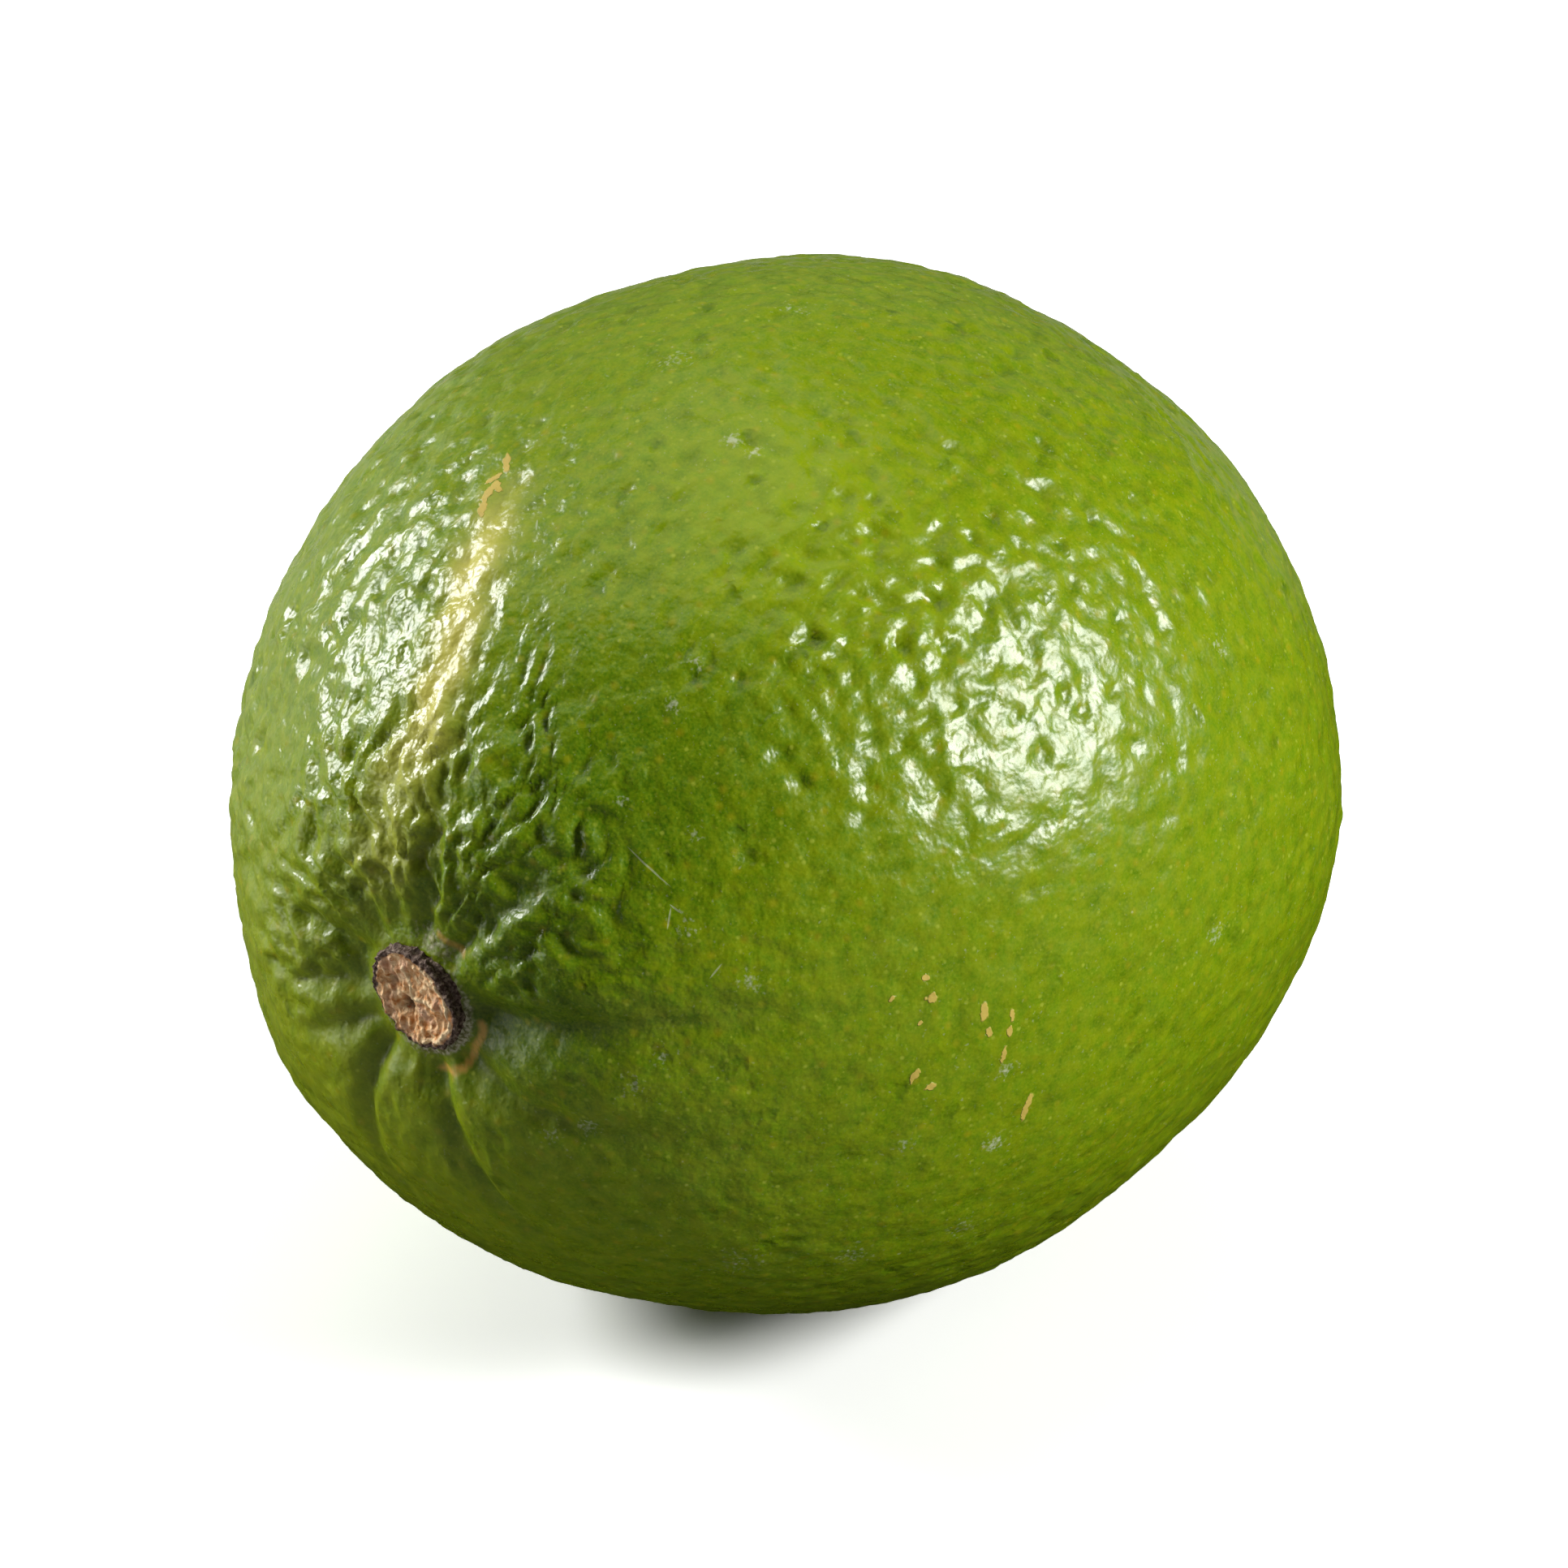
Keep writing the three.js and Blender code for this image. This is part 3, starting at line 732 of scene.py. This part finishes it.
def oil_specks(tree, place, spacing, most):
    """Small round specks a third as wide as they are apart, each of its own strength."""
    away = add(tree, "TexVoronoi", {"Vector": place, "Scale": 1 / spacing})
    strength = add(tree, "SeparateColor", {"Color": away.node.outputs["Color"]})
    strength = add(tree, "MapRange", {"Value": strength, "From Min": 0.3, "From Max": 1.0, "To Max": most})
    speck = add(tree, "MapRange", {"Value": away, "From Min": 0.24, "From Max": 0.10})
    return add(tree, "Math", {0: speck, 1: strength}, operation="MULTIPLY")


def sunken_glands(tree, place):
    """Every 2.3 mm or so a gland may have sunk in, which leaves a sharp ragged pit 0.7 mm wide."""
    away = add(tree, "TexVoronoi", {"Vector": shaken(tree, place, 0.5, 0.9), "Scale": 1 / 2.3})
    chosen = add(tree, "SeparateColor", {"Color": away.node.outputs["Color"]})
    chosen = add(tree, "MapRange", {"Value": chosen, "From Min": 0.3, "From Max": 0.6})
    pit = add(tree, "MapRange", {"Value": away, "From Min": 0.25, "From Max": 0.06})
    return add(tree, "Math", {0: pit, 1: chosen}, operation="MULTIPLY")


def rubbed_wax(tree, place, dusty):
    """Rubbed and dusty places, as broken flecks 0.1 to 0.3 mm wide; and the scratches."""
    dust = add(tree, "TexNoise", {"Vector": place, "Scale": 1 / 0.2, "Detail": 3.0})
    dust = add(tree, "Math", {0: dusty, 1: 0.28, 2: dust}, operation="MULTIPLY_ADD")
    dust = add(tree, "MapRange", {"Value": dust, "From Min": 0.66, "From Max": 0.90, "To Max": 0.7})
    scratches = add(tree, "Math", {0: small_marks(tree, place, SCRATCHES), 1: 0.45}, operation="MULTIPLY")
    return add(tree, "Math", {0: dust, 1: scratches}, operation="MAXIMUM")


def waxed_lime_peel():
    """Lime peel with its own wax, polished in handling. It is smooth between its gland pits, so lights
    show as crisp blobs on the sides of its bumps. Below the wax lie pale specks of oil."""
    material, tree, place = new_material("waxed_lime_peel")
    names = ("pit", "dent_shade", "scar", "crease", "ring_scar", "dusty", "pebbly", "deep_green_and_shade", "yellowing",
             "painted_top_light", "crust")
    mark = {name: add(tree, "Attribute", out="Fac", attribute_name=name) for name in names}

    # The green goes from yellowish to deep, in soft blotches 0.6 mm wide, and has a finer grain.
    blotches = add(tree, "TexNoise", {"Vector": place, "Scale": 1 / 0.6, "Detail": 4.0})
    blotches = add(tree, "MapRange", {"Value": blotches, "From Min": 0.36, "From Max": 0.64})
    lighter = add(tree, "Math", {0: blotches, 1: 0.35}, operation="MULTIPLY")
    deep = add(tree, "Math", {0: mark["deep_green_and_shade"], 1: lighter}, operation="SUBTRACT", use_clamp=True)
    grain = add(tree, "TexNoise", {"Vector": place, "Scale": 1 / 0.13, "Detail": 1.0})

    # Oil glands show as soft ochre dots 1.1 mm apart.
    glands = add(tree, "TexVoronoi", {"Vector": place, "Scale": 1 / 1.1})
    specks = [oil_specks(tree, place, *row) for row in SPECKS]
    sunk = sunken_glands(tree, place)
    scuffs = rubbed_wax(tree, place, mark["dusty"])
    flecks = small_marks(tree, shaken(tree, place, 0.3, 0.35), FLECKS)

    # Beside the stalk the skin is corky and pale, with browner crumbs 0.2 mm wide.
    collar = add(tree, "TexNoise", {"Vector": place, "Scale": 1 / 0.25, "Detail": 3.0})
    collar = add(tree, "Math", {0: mark["crust"], 1: collar}, operation="ADD")
    cork = add(tree, "TexNoise", {"Vector": place, "Scale": 1 / 0.2})
    cork = coated(tree, linear("#6d6a38"), [(cork, 0.4, 0.6, 1, linear("#c4bda4"))])

    green = coated(tree, linear("#668800"), [
        (blotches, 0, 1, 1, linear("#7c9000")),
        # painted shade in part: the deep green mark darkens the stem end's lower front and the pocket by the
        # stalk
        (deep, 0, 1, 1, linear("#446d00")),
        (mark["yellowing"], 0, 1, 0.5, linear("#a8ae26")),
        # painted light: the upper middle is painted paler
        (mark["painted_top_light"], 0, 1, 0.36, linear("#a3ba10")),
        # painted shade: the stem end's folds are painted darker the deeper they are
        (mark["crease"], 0, 1, 0.5, linear("#3f5c00")),
        # painted shade: the deeper gland pits are painted a darker green
        (mark["pit"], 0.15, 0.7, 0.3, linear("#3f6200")),
        # painted shade: the low places between the bumps are painted darker
        (mark["dent_shade"], 0, 1, 0.28, linear("#3f6200")),
        (glands, 0.24, 0.04, 0.5, linear("#a39610")),
        (grain, 0.3, 0.7, 0.35, linear("#94a516")),
        *[(speck, 0, 1, 1, linear("#aebb3c")) for speck in specks],
        # painted shade: the sunken glands' pits are painted a darker green
        (sunk, 0, 1, 0.5, linear("#3a5c00")),
        (mark["scar"], 0, 1, 1, linear("#c6c056")),
        (scuffs, 0, 1, 1, linear("#c0c6a4")),
        (flecks, 0, 1, 0.9, linear("#ccb050")),
        (collar, 0.75, 1.15, 0.9, cork),
        (mark["ring_scar"], 0.3, 0.8, 0.8, linear("#d8a850")),
    ])

    # The wax is a little uneven in patches 1.8 mm wide, and dull where it is rubbed, folded or corky.
    wax = add(tree, "TexNoise", {"Vector": place, "Scale": 1 / 1.8, "Detail": 3.0})
    rough = add(tree, "MapRange", {"Value": wax, "From Min": 0.3, "From Max": 0.7,
                                   "To Min": 0.24, "To Max": 0.34})
    for value, duller in [(scuffs, 0.5), (mark["crease"], 0.15), (flecks, 0.4)]:
        rough = add(tree, "Math", {0: value, 1: duller, 2: rough}, operation="MULTIPLY_ADD")

    # Bumps 0.42 mm wide, too fine for the mesh: heights in millimetres. They are highest by the stalk.
    height = add(tree, "TexNoise", {"Vector": place, "Scale": 1 / 0.42, "Detail": 1.5})
    pebbles = add(tree, "MapRange", {"Value": mark["pebbly"], "To Min": 0.045, "To Max": 0.11})
    height = add(tree, "Math", {0: height, 1: pebbles}, operation="MULTIPLY")
    for value, raised in [(sunk, -0.05), (flecks, 0.03)]:
        height = add(tree, "Math", {0: value, 1: raised, 2: height}, operation="MULTIPLY_ADD")
    bump = add(tree, "Bump", {"Height": height, "Distance": MM, "Strength": 1.0})
    shader = add(tree, "BsdfPrincipled", {"Base Color": green, "Roughness": rough, "Normal": bump,
                                          "IOR": 1.5})
    add(tree, "OutputMaterial", {"Surface": shader})
    return material


def dry_stalk_wood():
    """Dry broken stalk: torn pale wood, darker the deeper its hollows are, and dark crumbly bark round it.
    """
    material, tree, place = new_material("dry_stalk_wood")
    names = ("wood", "hollow", "crest")
    mark = {name: add(tree, "Attribute", out="Fac", attribute_name=name) for name in names}

    # The wood's torn fibres are 0.35 mm thick, its stains 0.9 mm wide and its rusty specks 0.2 mm. The
    # crumbs of the bark are 0.16 mm.
    fibres = add(tree, "TexNoise", {"Vector": place, "Scale": 1 / 0.35, "Detail": 4.0})
    stains = add(tree, "TexNoise", {"Vector": place, "Scale": 1 / 0.9})
    rust = add(tree, "TexNoise", {"Vector": place, "Scale": 1 / 0.2, "Detail": 1.0})
    crumbs = add(tree, "TexNoise", {"Vector": place, "Scale": 1 / 0.16, "Detail": 4.0})
    crumbs = add(tree, "MapRange", {"Value": crumbs, "From Min": 0.42, "From Max": 0.70})
    bare_wood = coated(tree, linear("#d28a44"), [
        (fibres, 0.35, 0.65, 1, linear("#ffdca8")),
        (stains, 0.5, 0.7, 0.6, linear("#d0a086")),
        (mark["crest"], 0.2, 0.8, 0.85, linear("#fbe0b0")),
        # darker the deeper the face's hollows are
        (mark["hollow"], 0.12, 0.36, 0.9, linear("#5a3e12")),
        (rust, 0.68, 0.74, 0.7, linear("#b85a20")),
    ])
    stalk = coated(tree, linear("#4a3020"), [
        (crumbs, 0, 1, 1, linear("#a08a7a")),
        (mark["wood"], 0, 1, 1, bare_wood),
    ])
    bump = add(tree, "Bump", {"Height": crumbs, "Distance": 0.06 * MM, "Strength": 1.0})
    shader = add(tree, "BsdfPrincipled", {"Base Color": stalk, "Roughness": 0.75, "Normal": bump})
    add(tree, "OutputMaterial", {"Surface": shader})
    return material


def pale_table():
    """Matt white card. It looks white to the eye, and dimmer in the lime's wax and in the light that it
    throws back, most on the right."""
    material, tree, place = new_material("pale_table")

    # Millimetres behind the fruit, and in part to its left.
    behind = add(tree, "VectorMath", {0: place, 1: -0.8 * LEVEL_BACK - 0.6 * RIGHT}, operation="DOT_PRODUCT")
    lit = add(tree, "MapRange", {"Value": behind, "From Min": -10, "From Max": 50,
                                 "To Min": 0.34, "To Max": 0.9})
    gloss = add(tree, "MapRange", {"Value": behind, "From Min": 20, "From Max": 120, "To Max": 0.35})
    shade = coated(tree, lit, [
        (add(tree, "LightPath", out="Is Camera Ray"), 0, 1, 1, (1.5, 1.5, 1.5, 1)),
        (add(tree, "LightPath", out="Is Glossy Ray"), 0, 1, 1, gloss),
    ])
    card = add(tree, "BsdfDiffuse", {"Color": shade})
    add(tree, "OutputMaterial", {"Surface": card})
    return material


# ---- stage ----

TABLE_HALF = 3000.0
WORLD_GREY = (0.015, 0.015, 0.015, 1)

# Around, up, distance, width, height and brightness of each softbox and panel.
LAMPS = {
    "right_softbox": (71, 28, 600, 215, 225, 29),
    "left_softbox": (-110, 28, 600, 225, 215, 23),
    "left_spill": (-128, 8, 660, 700, 200, 0.45),
    "left_foot_card": (-84, 2, 600, 450, 150, 2.8),
    "overhead_panel": (-135, 74, 728, 690, 700, 0.68),
    "back_panel": (178, 25, 900, 1100, 600, 0.16),
}


def place_camera():
    """The camera looks at the stem end's side of the fruit, from a little above."""
    camera = bpy.data.objects.new("camera", bpy.data.cameras.new("camera"))
    camera.data.sensor_width, camera.data.lens = SENSOR, LENS
    aim = fruit_middle() - AIM_LEFT * RIGHT - AIM_DOWN * UP
    camera.location = (aim + BACK * VIEW_DISTANCE) * MM
    camera.rotation_euler = Vector(-BACK).to_track_quat("-Z", "Y").to_euler()
    camera.data.clip_start, camera.data.clip_end = 0.01, 20
    bpy.context.scene.collection.objects.link(camera)
    bpy.context.scene.camera = camera


def soft_box(name, around, up, distance, width, height, brightness):
    """A flat lamp that faces the fruit. Around is in degrees from the camera to the camera's right, and
    up is in degrees above level."""
    around, up = math.radians(around), math.radians(up)
    towards = math.cos(up) * (math.cos(around) * LEVEL_BACK + math.sin(around) * RIGHT)
    towards[2] = math.sin(up)
    lamp = bpy.data.lights.new(name, "AREA")
    lamp.shape, lamp.size, lamp.size_y = "RECTANGLE", width * MM, height * MM
    lamp.energy = brightness * math.pi * width * height * MM**2
    made = bpy.data.objects.new(name, lamp)
    made.location = (fruit_middle() + towards * distance) * MM
    made.rotation_euler = Vector(towards).to_track_quat("Z", "Y").to_euler()
    made.visible_camera = False
    bpy.context.scene.collection.objects.link(made)


def build_stage():
    """The table, the lamps, and the dim grey of the room round them."""
    corners = TABLE_HALF * np.array([[-1, -1, 0], [1, -1, 0], [1, 1, 0], [-1, 1, 0]])
    table = mesh_object("table", corners, np.array([[0, 1, 2, 3]]))
    table.data.materials.append(pale_table())
    world = bpy.data.worlds.new("studio")
    world.use_nodes = True
    world.node_tree.nodes["Background"].inputs["Color"].default_value = WORLD_GREY
    bpy.context.scene.world = world
    bpy.context.scene.view_settings.view_transform = "Standard"
    for name, row in LAMPS.items():
        soft_box(name, *row)


# ---- the lime ----

peel = build_peel()
peel.data.materials.append(waxed_lime_peel())
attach(peel, "root")
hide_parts("fruit")

stub = build_stem_stub()
stub.data.materials.append(dry_stalk_wood())
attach(stub, "root")
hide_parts("stem_button")

build_stage()
place_camera()
